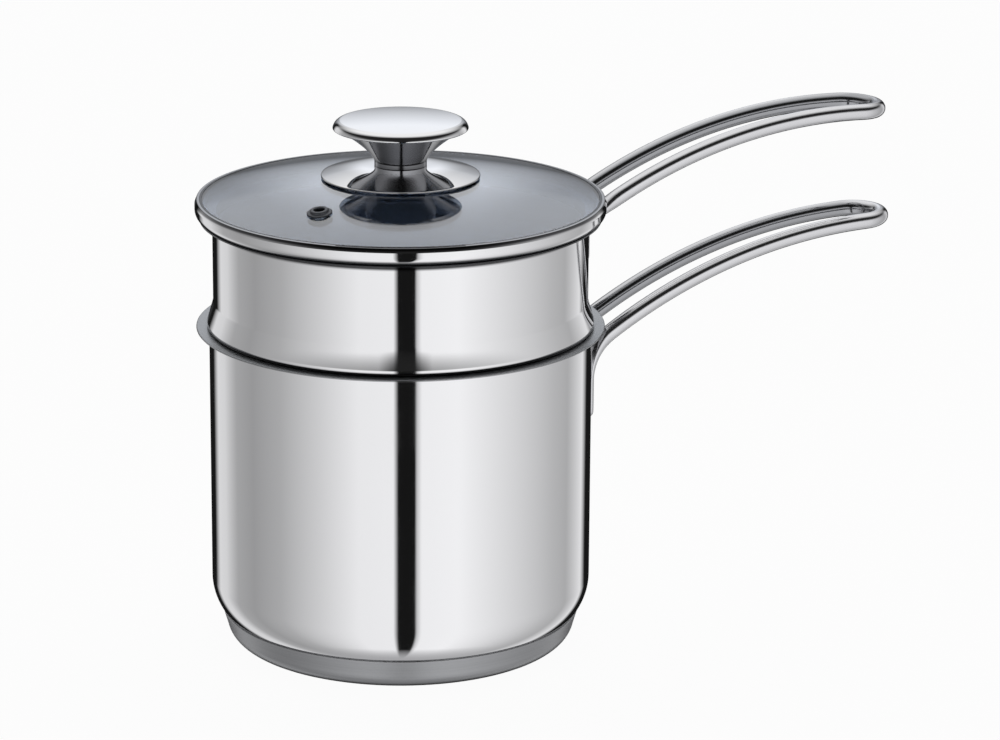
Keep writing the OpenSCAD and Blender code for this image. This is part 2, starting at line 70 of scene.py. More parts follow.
def turned(name, outline, steps=160, hold=0.35):
    """A lathe-turned piece: a point drawn along the outline, in millimetres, and spun round the axis.

    Straight runs longer than eight times hold get a ring close to each end, at the distance hold,
    so that they stay straight in their reflections.
    """
    path = [outline[0]]
    for a, b in zip(outline, outline[1:]):
        run = math.dist(a, b)
        if run > 8 * hold:
            for t in (hold / run, 1 - hold / run):
                path.append((a[0] + (b[0] - a[0]) * t, a[1] + (b[1] - a[1]) * t))
        path.append(b)
    bpy.ops.object.select_all(action="DESELECT")
    bpy.ops.mesh.primitive_plane_add(size=0.001, location=(0, 0, 0))
    piece = bpy.context.object
    piece.name = piece.data.name = name
    bpy.ops.object.mode_set(mode="EDIT")
    bpy.ops.mesh.select_all(action="SELECT")
    bpy.ops.mesh.merge(type="CENTER")
    bpy.ops.transform.translate(value=(path[0][0] / 1000, 0, path[0][1] / 1000))
    for a, b in zip(path, path[1:]):
        step = ((b[0] - a[0]) / 1000, 0, (b[1] - a[1]) / 1000)
        bpy.ops.mesh.extrude_region_move(TRANSFORM_OT_translate={"value": step})
    bpy.ops.mesh.select_all(action="SELECT")
    bpy.ops.mesh.spin(steps=steps, angle=math.tau, center=(0, 0, 0), axis=(0, 0, 1))
    bpy.ops.mesh.select_all(action="SELECT")
    bpy.ops.mesh.remove_doubles(threshold=0.000002)
    bpy.ops.mesh.normals_make_consistent(inside=False)
    bpy.ops.object.mode_set(mode="OBJECT")
    bpy.ops.object.transform_apply(location=True, rotation=True, scale=True)
    bpy.ops.object.shade_smooth_by_angle(angle=math.radians(32))
    return piece


def srgb(code, alpha=1.0):
    """A linear colour from an sRGB hex code."""
    parts = [int(code[i:i + 2], 16) / 255 for i in (1, 3, 5)]
    return tuple(c / 12.92 if c <= 0.04045 else ((c + 0.055) / 1.055) ** 2.4 for c in parts) + (alpha,)


def add(tree, kind, inputs=None, links=None, **settings):
    """Adds one node with its settings, its input values and the sockets linked into it."""
    node = tree.nodes.new(kind)
    for key, value in settings.items():
        setattr(node, key, value)
    for key, value in (inputs or {}).items():
        node.inputs[key].default_value = value
    for key, socket in (links or {}).items():
        tree.links.new(socket, node.inputs[key])
    return node


def noise_scale(apart):
    """The scale of a noise whose light spots lie that many millimetres from its dark ones."""
    return 1000 / (2 * apart)


def round_the_axis(tree):
    """A vector with the distance from the axis in X and the height in Z, for marks made on a lathe."""
    place = add(tree, "ShaderNodeTexCoord")
    parts = add(tree, "ShaderNodeSeparateXYZ", links={"Vector": place.outputs["Object"]})
    flat = add(tree, "ShaderNodeCombineXYZ",
               links={"X": parts.outputs["X"], "Y": parts.outputs["Y"]})
    far = add(tree, "ShaderNodeVectorMath", links={0: flat.outputs["Vector"]}, operation="LENGTH")
    turning = add(tree, "ShaderNodeCombineXYZ",
                  links={"X": far.outputs["Value"], "Z": parts.outputs["Z"]})
    return turning.outputs["Vector"]


def new_material(name):
    """An empty node material, its tree and its Principled node."""
    material = bpy.data.materials.new(name)
    material.use_nodes = True
    return material, material.node_tree, material.node_tree.nodes["Principled BSDF"]


# Stainless steel 18/10, mirror polished: clear reflections, with the faint rings that the
# polishing wheel leaves round a turning pan, about 0.4 mm apart, and light smudges of 15 mm.
# Painted shade darkens it under the roll of the bead, at the top of the insert's wall and
# under the lid's rim, and a painted grey shade lies on narrow edges: the flange's, the lip of the lid's
# rim and the disc's.
polished_steel, tree, steel = new_material("mirror_polished_stainless_steel")
steel.inputs["Metallic"].default_value = 1.0
turning = round_the_axis(tree)
place = add(tree, "ShaderNodeTexCoord")
rings = add(tree, "ShaderNodeTexNoise",
            {"Scale": noise_scale(0.4), "Detail": 3.0, "Roughness": 0.7},
            {"Vector": turning})
smudges = add(tree, "ShaderNodeTexNoise",
              {"Scale": noise_scale(15), "Detail": 4.0, "Roughness": 0.6},
              {"Vector": place.outputs["Object"]})
haze = add(tree, "ShaderNodeMapRange",
           {"From Min": 0.35, "From Max": 0.75, "To Min": 0.03, "To Max": 0.07},
           {"Value": smudges.outputs["Fac"]})
tree.links.new(haze.outputs["Result"], steel.inputs["Roughness"])
polish = add(tree, "ShaderNodeBump", {"Strength": 0.06, "Distance": 0.00002},
             {"Height": rings.outputs["Fac"]})
tree.links.new(polish.outputs["Normal"], steel.inputs["Normal"])
shade_from, shade_to = 134, 204  # heights in millimetres between which the painted shade changes
parts = add(tree, "ShaderNodeSeparateXYZ", links={"Vector": turning})
height = add(tree, "ShaderNodeMapRange",
             {"From Min": shade_from / 1000, "From Max": shade_to / 1000},
             {"Value": parts.outputs["Z"]})
painted_shade_ramp = add(tree, "ShaderNodeValToRGB", links={"Fac": height.outputs["Result"]})
# The three darker greys are painted shade; buffed is the steel's own colour.
buffed, painted_grey, painted_dim, painted_dark = "#E0E0E1", "#9A9A9C", "#58585A", "#3E3E40"
painted_shade_grades = [
    # painted shade on the edge of the lower pan's flange
    (135.6, buffed), (136.4, painted_grey), (137.9, painted_grey),
    # painted shade under the roll of the insert's bead
    (138.1, painted_dark), (139.3, painted_dark), (139.6, buffed),
    # painted shade at the top of the insert's wall and under the lid's rim
    (181.4, buffed), (182.4, painted_dark), (184.85, painted_dark), (184.95, buffed), (185.05, buffed),
    (185.1, painted_dark), (186.0, painted_dark), (187.3, buffed),
    # painted shade on the shoulder and lip of the lid's rim
    (191.2, buffed), (191.8, painted_dim), (192.6, painted_dim), (192.67, painted_grey), (200.0, painted_grey),
    (200.1, buffed),
    # painted shade at the edge of the knob's disc
    (201.8, buffed), (201.85, painted_dark), (202.3, painted_grey), (202.6, buffed)]
while len(painted_shade_ramp.color_ramp.elements) < len(painted_shade_grades):
    painted_shade_ramp.color_ramp.elements.new(0.5)
for element, (z, code) in zip(painted_shade_ramp.color_ramp.elements, painted_shade_grades):
    element.position = (z - shade_from) / (shade_to - shade_from)
    element.color = srgb(code)
tree.links.new(painted_shade_ramp.outputs["Color"], steel.inputs["Base Color"])

sheet = 0.8  # thickness of the steel, in millimetres as all the sizes of the pieces
roll = 0.4  # inner radius of the bend from a wall to its flange
pan_r, pan_corner, pan_flange_r = 80.8, 22, 86.2
pan_floor, pan_top = 5.6, 138
pan_root = (pan_r + roll, pan_top - sheet - roll)  # centre of the bend under the flange
lower_pan_outline = (
    [(0, pan_floor)] + bend(pan_r - pan_corner, pan_floor + pan_corner, pan_corner, -90, 0, 24)
    + bend(*pan_root, roll, 180, 90, 5)
    + bend(pan_flange_r - sheet / 2, pan_top - sheet / 2, sheet / 2, -90, 90, 8)
    + bend(*pan_root, roll + sheet, 90, 180, 7)
    + bend(pan_r - pan_corner, pan_floor + pan_corner, pan_corner - sheet, 0, -90, 24)
    + [(0, pan_floor + sheet)])
lower_pan = turned("lower_pan", lower_pan_outline)
lower_pan.data.materials.append(polished_steel)

# Satin stainless steel of the cooking side and of the flange, brushed in fine rings about
# 0.3 mm apart: it keeps the reflections soft. Painted shade darkens the top of the insert's
# inside wall and the tops of the flanges.
brushed_steel, tree, brushed = new_material("ring_brushed_stainless_steel")
brushed.inputs["Metallic"].default_value = 1.0
brushed.inputs["Anisotropic"].default_value = 0.3
turning = round_the_axis(tree)
lines = add(tree, "ShaderNodeTexNoise",
            {"Scale": noise_scale(0.3), "Detail": 4.0, "Roughness": 0.7},
            {"Vector": turning})
tone = add(tree, "ShaderNodeValToRGB", links={"Fac": lines.outputs["Fac"]})
tone.color_ramp.elements[0].color = srgb("#C0C3C7")
tone.color_ramp.elements[1].color = srgb("#DCDFE3")
parts = add(tree, "ShaderNodeSeparateXYZ", links={"Vector": turning})
# Painted shade: darker from 156 mm up the insert's inside wall, and beyond 81.8 mm on the flanges'
# tops.
up = add(tree, "ShaderNodeMapRange",
         {"From Min": 0.156, "From Max": 0.19, "To Min": 1.15, "To Max": 0.58},
         {"Value": parts.outputs["Z"]})
edge = add(tree, "ShaderNodeMapRange",
           {"From Min": 0.0812, "From Max": 0.0818, "To Min": 1.0, "To Max": 0.5},
           {"Value": parts.outputs["X"]})
painted_shade_level = add(tree, "ShaderNodeMath", links={0: up.outputs["Result"], 1: edge.outputs["Result"]},
           operation="MULTIPLY")
tone_with_painted_shade = add(tree, "ShaderNodeVectorMath", links={0: tone.outputs["Color"], 1: painted_shade_level.outputs["Value"]},
           operation="MULTIPLY")
tree.links.new(tone_with_painted_shade.outputs["Vector"], brushed.inputs["Base Color"])
grain = add(tree, "ShaderNodeMapRange",
            {"To Min": 0.3, "To Max": 0.45}, {"Value": lines.outputs["Fac"]})
tree.links.new(grain.outputs["Result"], brushed.inputs["Roughness"])


def brush(piece, wall_r, flange_low):
    """Gives a pan's inside, its floor and the top of its flange the brushed finish."""
    piece.data.materials.append(brushed_steel)
    for face in piece.data.polygons:
        far = math.hypot(face.center.x, face.center.y)
        inward = -(face.normal.x * face.center.x + face.normal.y * face.center.y) / max(far, 1e-6)
        floor_side = face.normal.z > 0.5 and far < (wall_r - 1.5) / 1000
        outside = far > (wall_r + 0.3) / 1000 and face.center.z > flange_low / 1000
        on_flange = outside and face.normal.z > 0.5
        if inward > 0.2 or floor_side or on_flange:
            face.material_index = 1


brush(lower_pan, pan_r, pan_root[1] + 0.1)
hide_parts("lower_pan_shell")
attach(lower_pan, "lower_pan")

# Base capsule
# A cup of stainless steel pressed round the aluminium disc and brazed to the pan. Its flat
# bottom and its side are turned with a coarse belt, so it is satin and not mirror bright.
cup_sheet, cup_corner, cup_in = 0.6, 8.6, 66  # thickness, and radius and middle of the corner
capsule_outline = (
    [(0, 0)] + bend(cup_in, cup_corner, cup_corner, -90, -10, 16) + [(76.32, 13.3)]
    + bend(76.1, 13.44, 0.26, 0, 90, 4) + [(75.86, 13.7), (75.5, 13.2)]
    + [(73.95, 7.2)] + bend(cup_in, cup_corner, cup_corner - cup_sheet, -10, -90, 12)
    + [(0, cup_sheet)])
capsule = turned("base_cup", capsule_outline)

# Satin ground stainless steel: fine lines round the axis, about 0.25 mm apart, drawn a
# little coarser than real so that they show, which break the reflections into soft bands.
satin_steel, tree, satin = new_material("satin_ground_stainless_steel")
satin.inputs["Metallic"].default_value = 1.0
satin.inputs["Anisotropic"].default_value = 0.4
lines = add(tree, "ShaderNodeTexNoise",
            {"Scale": noise_scale(0.25), "Detail": 4.0, "Roughness": 0.8},
            {"Vector": round_the_axis(tree)})
tone = add(tree, "ShaderNodeValToRGB", links={"Fac": lines.outputs["Fac"]})
tone.color_ramp.elements[0].color = srgb("#87888A")
tone.color_ramp.elements[1].color = srgb("#B2B3B5")
tree.links.new(tone.outputs["Color"], satin.inputs["Base Color"])
grain = add(tree, "ShaderNodeMapRange",
            {"To Min": 0.26, "To Max": 0.42}, {"Value": lines.outputs["Fac"]})
tree.links.new(grain.outputs["Result"], satin.inputs["Roughness"])
scored = add(tree, "ShaderNodeBump", {"Strength": 0.25, "Distance": 0.00004},
             {"Height": lines.outputs["Fac"]})
tree.links.new(scored.outputs["Normal"], satin.inputs["Normal"])

capsule.data.materials.append(satin_steel)
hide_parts("base_capsule")
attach(capsule, "lower_pan")

# Heat-spreading disc
# A pressed disc of plain aluminium inside the capsule, which can't be seen on a whole pan.
# The knob's threaded boss is of the same metal. Both are dull, with a grain of about 1 mm.
plain_aluminium, tree, aluminium = new_material("pressed_plain_aluminium")
aluminium.inputs["Metallic"].default_value = 1.0
place = add(tree, "ShaderNodeTexCoord")
grains = add(tree, "ShaderNodeTexNoise", {"Scale": noise_scale(1), "Detail": 5.0},
             {"Vector": place.outputs["Object"]})
tone = add(tree, "ShaderNodeValToRGB", links={"Fac": grains.outputs["Fac"]})
tone.color_ramp.elements[0].color = srgb("#C3C4C6")
tone.color_ramp.elements[1].color = srgb("#DADBDC")
tree.links.new(tone.outputs["Color"], aluminium.inputs["Base Color"])
dull = add(tree, "ShaderNodeMapRange",
           {"To Min": 0.4, "To Max": 0.6}, {"Value": grains.outputs["Fac"]})
tree.links.new(dull.outputs["Result"], aluminium.inputs["Roughness"])
pressed = add(tree, "ShaderNodeBump", {"Strength": 0.2, "Distance": 0.0001},
              {"Height": grains.outputs["Fac"]})
tree.links.new(pressed.outputs["Normal"], aluminium.inputs["Normal"])
for name in ("base_core", "knob_core"):
    nodes[name].data.materials.clear()
    nodes[name].data.materials.append(plain_aluminium)

# Insert pan
# Drawn from the same sheet, with a bead pressed out where it sits on the lower pan's flange
# and a flange of its own under the lid's rim. It hangs inside with 1 mm of play.
insert_r, insert_corner, insert_flange_r = 79, 20, 84.4
insert_floor, seat_z, insert_top = 74, 138.1, 185
bead_bend = 0.6  # inner radius of the bends between the wall, the seat and the flank of the bead
flank_w, flank_low, flank_h = 2.7, 140.1, 9.1
flank = []  # the bead's sloping side: how far it stands out from the wall above it, and its height
for i in range(21):
    u = i / 20
    flank.append((flank_w * (1 - u) ** 1.2, flank_low + flank_h * u))
insert_root = (insert_r + roll, insert_top - sheet - roll)
insert_outline = (
    [(0, insert_floor)]
    + bend(insert_r - insert_corner, insert_floor + insert_corner, insert_corner, -90, 0, 24)
    + bend(insert_r + bead_bend, seat_z - bead_bend, bead_bend, 180, 90, 5)
    + bend(80.7, seat_z + 1, 1, -90, 0, 8) + [(81.7, 139.25), (81.7, 139.95)]
    + [(insert_r + out, z) for out, z in flank]
    + bend(*insert_root, roll, 180, 90, 5)
    + bend(insert_flange_r - sheet / 2, insert_top - sheet / 2, sheet / 2, -90, 90, 8)
    + bend(*insert_root, roll + sheet, 90, 180, 7)
    + [(insert_r - sheet + out, z) for out, z in reversed(flank)]
    + bend(80.3, 139.5, bead_bend, 0, -90, 5) + bend(78.8, 138.3, bead_bend, 90, 180, 5)
    + bend(insert_r - insert_corner, insert_floor + insert_corner, insert_corner - sheet, 0, -90, 24)
    + [(0, insert_floor + sheet)])
insert_pan = turned("insert_pan", insert_outline)
insert_pan.data.materials.append(polished_steel)
brush(insert_pan, insert_r, insert_root[1] - 0.5)
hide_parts("insert_shell")
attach(insert_pan, "insert_pan")

# Handles
# Each is one 7 mm stainless steel rod bent to a loop: two legs 24 mm apart, a round tip and
# two feet pressed flat and welded to the wall. Drawn rod, polished along its length.


def wire_handle(name, wall, foot_z, foot_h, foot_t, bow, arch, crown, reach):
    """Half of a handle, ring by ring from its foot to its tip, mirrored to the whole loop.

    The foot is foot_h high and foot_t thick. The rod leaves the wall in a bend of radius bow and
    goes on in an arch of radius arch, whose highest point lies crown from the wall and whose tip
    lies reach from it. All sizes are in millimetres.
    """
    rod = 3.5  # half the thickness of the rod
    apart = 12  # from the middle of the slot to the middle of a rod
    foot_half_w = 6
    taper = 22  # length over which the flat foot turns into the round rod
    seat = wall + foot_t / 2 - 0.3
    lean = math.asin(apart / seat)
    leg = seat * math.cos(lean)
    top = foot_z + foot_h
    crown_x = wall + crown
    rise = math.asin((crown_x - leg - bow) / (arch - bow))
    arch_z = top - (arch - bow) * math.cos(rise)
    tip_x = wall + reach - rod - apart
    tip_turn = math.asin((tip_x - crown_x) / arch)
    rings = []  # x, z, lean outwards from upright, twist round the upright, half thickness, half width
    for u in (0, 0.012, 0.03, 0.06, 0.1, 0.16, 0.25, 0.4, 0.6, 0.8, 1):
        end = math.sqrt(1 - (1 - min(u * 4, 1)) ** 2)
        edge = 0.35 + 0.65 * math.sqrt(1 - (1 - min(u * 10, 1)) ** 2)
        half_w = foot_half_w * (0.45 + 0.55 * end)
        rings.append((leg, foot_z + foot_h * u, 0, lean, foot_t / 2 * edge, half_w))
    bent = math.pi / 2 - rise
    path = []  # x, z, lean, twist, length of rod past the foot
    for i in range(1, 13):
        turn = bent * i / 12
        path.append((leg + bow - bow * math.cos(turn), top + bow * math.sin(turn), turn,
                     lean * (1 - i / 12), bow * bent * i / 12))
    for i in range(1, 43):
        turn = -rise + (rise + tip_turn) * (i / 42) ** 1.25
        path.append((crown_x + arch * math.sin(turn), arch_z + arch * math.cos(turn),
                     math.pi / 2 + turn, 0, bow * bent + arch * (turn + rise)))
    for x, z, tilt, twist, past_foot in path:
        share = min(past_foot / taper, 1)
        ease = share * share * (3 - 2 * share)
        rings.append((x, z, tilt, twist, foot_t / 2 + (rod - foot_t / 2) * ease,
                      foot_half_w + (rod - foot_half_w) * ease))
    bpy.ops.object.select_all(action="DESELECT")
    bpy.ops.mesh.primitive_circle_add(vertices=40, radius=0.001,
                                      location=(leg / 1000, apart / 1000, foot_z / 1000))
    piece = bpy.context.object
    piece.name = piece.data.name = name
    bpy.ops.object.mode_set(mode="EDIT")
    bpy.ops.mesh.select_all(action="SELECT")
    last_x, last_z, last_tilt, last_twist, last_t, last_w = leg, foot_z, 0, 0, 1, 1
    for i, (x, z, tilt, twist, half_t, half_w) in enumerate(rings):
        if i > 0:
            bpy.ops.mesh.extrude_region_move(
                TRANSFORM_OT_translate={"value": ((x - last_x) / 1000, 0, (z - last_z) / 1000)})
        pivot = (x / 1000, apart / 1000, z / 1000)
        bpy.ops.transform.rotate(value=last_tilt, orient_axis="Y", center_override=pivot)
        bpy.ops.transform.rotate(value=last_twist, orient_axis="Z", center_override=pivot)
        bpy.ops.transform.resize(value=(half_t / last_t, half_w / last_w, 1), center_override=pivot)
        bpy.ops.transform.rotate(value=-twist, orient_axis="Z", center_override=pivot)
        bpy.ops.transform.rotate(value=-tilt, orient_axis="Y", center_override=pivot)
        last_x, last_z, last_tilt, last_twist, last_t, last_w = x, z, tilt, twist, half_t, half_w
    bpy.ops.mesh.spin(steps=14, angle=math.pi / 2, axis=(math.sin(tip_turn), 0, math.cos(tip_turn)),
                      center=(tip_x / 1000, 0, (arch_z + arch * math.cos(tip_turn)) / 1000))
    bpy.ops.mesh.select_all(action="DESELECT")
    bpy.ops.object.mode_set(mode="OBJECT")
    for v in piece.data.vertices:
        v.select = abs((piece.matrix_world @ v.co).z - foot_z / 1000) < 1e-6
    bpy.ops.object.mode_set(mode="EDIT")
    bpy.ops.mesh.select_mode(type="VERT")
    bpy.ops.mesh.edge_face_add()
    bpy.ops.mesh.select_all(action="DESELECT")
    bpy.ops.object.mode_set(mode="OBJECT")
    bpy.ops.object.transform_apply(location=True, rotation=True, scale=True)
    bpy.ops.object.modifier_add(type="MIRROR")
    piece.modifiers["Mirror"].use_axis = (False, True, False)
    piece.modifiers["Mirror"].merge_threshold = 0.00002
    bpy.ops.object.modifier_apply(modifier="Mirror")
    bpy.ops.object.mode_set(mode="EDIT")
    bpy.ops.mesh.select_all(action="SELECT")
    bpy.ops.mesh.remove_doubles(threshold=0.000002)
    bpy.ops.mesh.normals_make_consistent(inside=False)
    bpy.ops.object.mode_set(mode="OBJECT")
    bpy.ops.object.shade_smooth_by_angle(angle=math.radians(50))
    return piece


# Drawn rod, buffed to a mirror. Painted shade greys its sides towards the slot, where the two
# rods face each other. Draw marks 0.6 mm apart, coarser than real so that they show.
polished_rod, tree, rod_steel = new_material("polished_drawn_stainless_rod")
rod_steel.inputs["Metallic"].default_value = 1.0
tip_middle = 0.2125  # x in metres of the middle of the loop's round tip
place = add(tree, "ShaderNodeTexCoord")
parts = add(tree, "ShaderNodeSeparateXYZ", links={"Vector": place.outputs["Object"]})
past_tip = add(tree, "ShaderNodeMath",
               {1: tip_middle}, {0: parts.outputs["X"]}, operation="SUBTRACT")
beyond = add(tree, "ShaderNodeMath", {1: 0.0}, {0: past_tip.outputs["Value"]}, operation="MAXIMUM")
across = add(tree, "ShaderNodeCombineXYZ",
             links={"X": beyond.outputs["Value"], "Y": parts.outputs["Y"]})
from_middle = add(tree, "ShaderNodeVectorMath",
                  links={0: across.outputs["Vector"]}, operation="LENGTH")
# Painted shade: the sides towards the slot and the inside of the tip take the darker grey.
outside_of_painted_shade = add(tree, "ShaderNodeMapRange", {"From Min": 0.0095, "From Max": 0.012},
            {"Value": from_middle.outputs["Value"]}, interpolation_type="SMOOTHSTEP")
tone = add(tree, "ShaderNodeValToRGB", links={"Fac": outside_of_painted_shade.outputs["Result"]})
tone.color_ramp.elements[0].color = srgb("#9C9DA0")
tone.color_ramp.elements[1].color = srgb("#CECED0")
tree.links.new(tone.outputs["Color"], rod_steel.inputs["Base Color"])
marks = add(tree, "ShaderNodeTexNoise", {"Scale": noise_scale(0.6), "Detail": 3.0},
            {"Vector": place.outputs["Object"]})
soft = add(tree, "ShaderNodeMapRange",
           {"To Min": 0.09, "To Max": 0.2}, {"Value": marks.outputs["Fac"]})
tree.links.new(soft.outputs["Result"], rod_steel.inputs["Roughness"])
drawn = add(tree, "ShaderNodeBump", {"Strength": 0.05, "Distance": 0.00003},
            {"Height": marks.outputs["Fac"]})
tree.links.new(drawn.outputs["Normal"], rod_steel.inputs["Normal"])

lower_loop = wire_handle("lower_loop_handle", wall=pan_r, foot_z=91.6, foot_h=17, foot_t=4.2,
                         bow=22, arch=238, crown=139.5, reach=148.7)
lower_loop.data.materials.append(polished_rod)
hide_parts("lower_handle")
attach(lower_loop, "lower_pan")

insert_loop = wire_handle("insert_loop_handle", wall=insert_r, foot_z=161.4, foot_h=11.6, foot_t=3,
                          bow=8, arch=223, crown=122.5, reach=147.4)
insert_loop.data.materials.append(polished_rod)
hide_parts("insert_handle")
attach(insert_loop, "insert_pan")

# Lid glass
# Tempered soda-lime glass, 4 mm, sagged to a shallow dome, with a hole for the knob's screw
# in the middle and one for the steam vent.
glass_r, glass_t = 85, 4
dome_r, dome_top = 341.467, 202.944  # radius of the dome and height of its top
screw_r = 2.9  # half the hole for the knob's screw


def dome(r, down=0.0):
    """A point (radius, height) on the glass's upper face, or that far under it."""
    return (r, dome_top - down - dome_r + math.sqrt(dome_r * dome_r - r * r))


glass_edge = 0.6  # radius to which the glass's edge is ground
spokes = [screw_r + (glass_r - screw_r) * i / 48 for i in range(49)]
glass_outline = (
    [dome(screw_r, glass_t)] + [dome(r) for r in spokes]
    + bend(glass_r, dome(glass_r)[1] - glass_edge, glass_edge, 80, 0, 4)
    + bend(glass_r, dome(glass_r)[1] - glass_t + glass_edge, glass_edge, 0, -80, 4)
    + [dome(r, glass_t) for r in reversed(spokes[:-1])])
lid_pane = turned("lid_pane", glass_outline, hold=1.0)
vent_r, vent_hole = 59, 3.15  # the vent's distance from the axis, and half its hole
vent_tilt = math.asin(vent_r / dome_r)
vent_turn = math.radians(-146)
bpy.ops.object.select_all(action="DESELECT")
bpy.ops.mesh.primitive_cylinder_add(vertices=48, radius=vent_hole / 1000, depth=0.02,
                                    location=(0, 0, dome_r / 1000))
drill = bpy.context.object
bpy.ops.object.transform_apply(location=True, rotation=True, scale=True)
drill.rotation_euler = (0, vent_tilt, vent_turn)
drill.location = (0, 0, (dome_top - dome_r) / 1000)
bpy.context.view_layer.update()
bpy.context.view_layer.objects.active = lid_pane
bpy.ops.object.modifier_add(type="BOOLEAN")
lid_pane.modifiers["Boolean"].object = drill
lid_pane.modifiers["Boolean"].solver = "EXACT"
bpy.ops.object.modifier_apply(modifier="Boolean")
bpy.data.objects.remove(drill)

# Clear tempered glass: smooth, with the grey-blue of a thick soda-lime pane and waves of 25 mm.
clear_glass, tree, pane = new_material("clear_tempered_glass")
pane.inputs["Roughness"].default_value = 0.0
pane.inputs["IOR"].default_value = 1.52
pane.inputs["Transmission Weight"].default_value = 1.0
pane.inputs["Coat Weight"].default_value = 1.0
place = add(tree, "ShaderNodeTexCoord")
wave = add(tree, "ShaderNodeTexNoise", {"Scale": noise_scale(25), "Detail": 1.0},
           {"Vector": place.outputs["Object"]})
tone = add(tree, "ShaderNodeValToRGB", links={"Fac": wave.outputs["Fac"]})
tone.color_ramp.elements[0].color = srgb("#CCDCF4")
tone.color_ramp.elements[1].color = srgb("#D4E3F8")
tree.links.new(tone.outputs["Color"], pane.inputs["Base Color"])
lid_pane.data.materials.append(clear_glass)
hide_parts("lid_glass")
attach(lid_pane, "lid")

# Lid rim
# A strip of stainless steel rolled round the edge of the glass: a lip that reaches in over the
# glass, a rounded band outside, a shelf under the glass and a short skirt that centres the lid.
rim_outline = (
    [(76.7, 180.6), (77.4, 180.6), (77.4, 185.1)] + bend(82.7, 188.7, 3.6, -90, 0, 20)  # skirt and band
    + [(86.3, 190.65), (86.3, 190.8), (86.24, 190.94), (85.65, 192.34)]  # shoulder
    + bend(85.23, 192.3, 0.4, 24, 90, 6) + [(84.4, 192.72)] + bend(83.35, 192.7, 0.1, 90, 180, 3)  # lip
    + [dome(83.27, -0.02), (85.15, 192.16), (85.2, 188.14), (81.2, 188.14)]  # round the glass's edge
    + [(81.2, 185.8), (76.7, 185.8), (76.7, 180.6)])  # shelf
lid_rim = turned("lid_rim_band", rim_outline, steps=192)
lid_rim.data.materials.append(polished_steel)

# Cold-rolled stainless sheet as it comes from the mill: the faces of the rim round the glass's
# edge and the end of its lip aren't polished. Dull, painted dark as painted shade, with a grain of
# about 1 mm.
rolled_steel, tree, rolled = new_material("cold_rolled_stainless_sheet")
rolled.inputs["Metallic"].default_value = 1.0
place = add(tree, "ShaderNodeTexCoord")
mill = add(tree, "ShaderNodeTexNoise", {"Scale": noise_scale(1), "Detail": 4.0},
           {"Vector": place.outputs["Object"]})
tone = add(tree, "ShaderNodeValToRGB", links={"Fac": mill.outputs["Fac"]})
tone.color_ramp.elements[0].color = srgb("#4C4E52")
tone.color_ramp.elements[1].color = srgb("#606266")
tree.links.new(tone.outputs["Color"], rolled.inputs["Base Color"])
dull = add(tree, "ShaderNodeMapRange",
           {"To Min": 0.35, "To Max": 0.5}, {"Value": mill.outputs["Fac"]})
tree.links.new(dull.outputs["Result"], rolled.inputs["Roughness"])
lid_rim.data.materials.append(rolled_steel)
# Painted shade: the lower half of the band's roll, the skirt, the shelf, the faces round the glass's
# edge and the end of the lip take this dark grey.
for face in lid_rim.data.polygons:
    far = math.hypot(face.center.x, face.center.y)
    round_glass = far < 0.0853 and face.center.z < 0.1921
    end_of_lip = 0.083 < far < 0.0844
    if round_glass or end_of_lip:
        face.material_index = 1
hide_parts("lid_rim")
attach(lid_rim, "lid")

# Knob
# Three pressings of polished stainless steel: a domed disc on the glass, a hollow waisted
# neck that flares to the top, and a shallow cap whose rolled edge grips that flare.
disc_r, hub_r = 33, 11  # edge of the disc, and the flat middle of the disc under the neck
disc_top = 206.544
disc_edge = dome(disc_r)[1] + 0.5
disc_rise = disc_top - disc_edge - sheet
disc_over, disc_under = [], []
for i in range(25):
    u = i / 24
    slope = disc_rise * math.sin(math.pi / 2 * u)
    disc_over.append((disc_r + 0.1 - (disc_r + 0.1 - hub_r) * u, disc_edge + sheet + slope))
    disc_under.append((disc_r - (disc_r - hub_r) * u, disc_edge + slope))
disc_outline = (
    bend(disc_r, disc_edge + sheet / 2, sheet / 2, -90, 75, 8) + disc_over[1:]
    + [(screw_r, disc_top), (screw_r, disc_top - sheet)] + disc_under[::-1])
knob_disc = turned("knob_skirt_disc", disc_outline)
knob_disc.data.materials.append(polished_steel)
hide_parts("knob_disc")
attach(knob_disc, "lid")

cap_z = disc_top + 15.5  # foot of the cap, a neck's height over the disc
flare_w, flare_h = 14.7, 13.7
flare = []
for i in range(25):
    u = i / 24
    flare.append((hub_r + flare_w * u ** 1.45, disc_top + 1.8 + flare_h * u))
neck_outline = (
    [(screw_r, disc_top)] + bend(10.7, disc_top + 0.3, 0.3, -90, 0, 4) + flare
    + [(25.7, cap_z + sheet), (26.7, cap_z + sheet)]
    + [(26.7, cap_z + 2 * sheet), (24.9, cap_z + 2 * sheet)]
    + [(r - sheet, z + 0.4) for r, z in reversed(flare)]
    + [(10.2, disc_top + sheet), (screw_r, disc_top + sheet), (screw_r, disc_top)])
knob_neck = turned("knob_waisted_neck", neck_outline)

# The neck is spun from the same steel, painted darker than the rest as painted shade under
# the cap, with turning lines about 0.3 mm apart.
spun_steel, tree, spun = new_material("spun_stainless_steel_painted_dark")
spun.inputs["Metallic"].default_value = 1.0
place = add(tree, "ShaderNodeTexCoord")
parts = add(tree, "ShaderNodeSeparateXYZ", links={"Vector": place.outputs["Object"]})
up_only = add(tree, "ShaderNodeCombineXYZ", links={"Z": parts.outputs["Z"]})
lines = add(tree, "ShaderNodeTexNoise",
            {"Scale": noise_scale(0.3), "Detail": 3.0, "Roughness": 0.7},
            {"Vector": up_only.outputs["Vector"]})
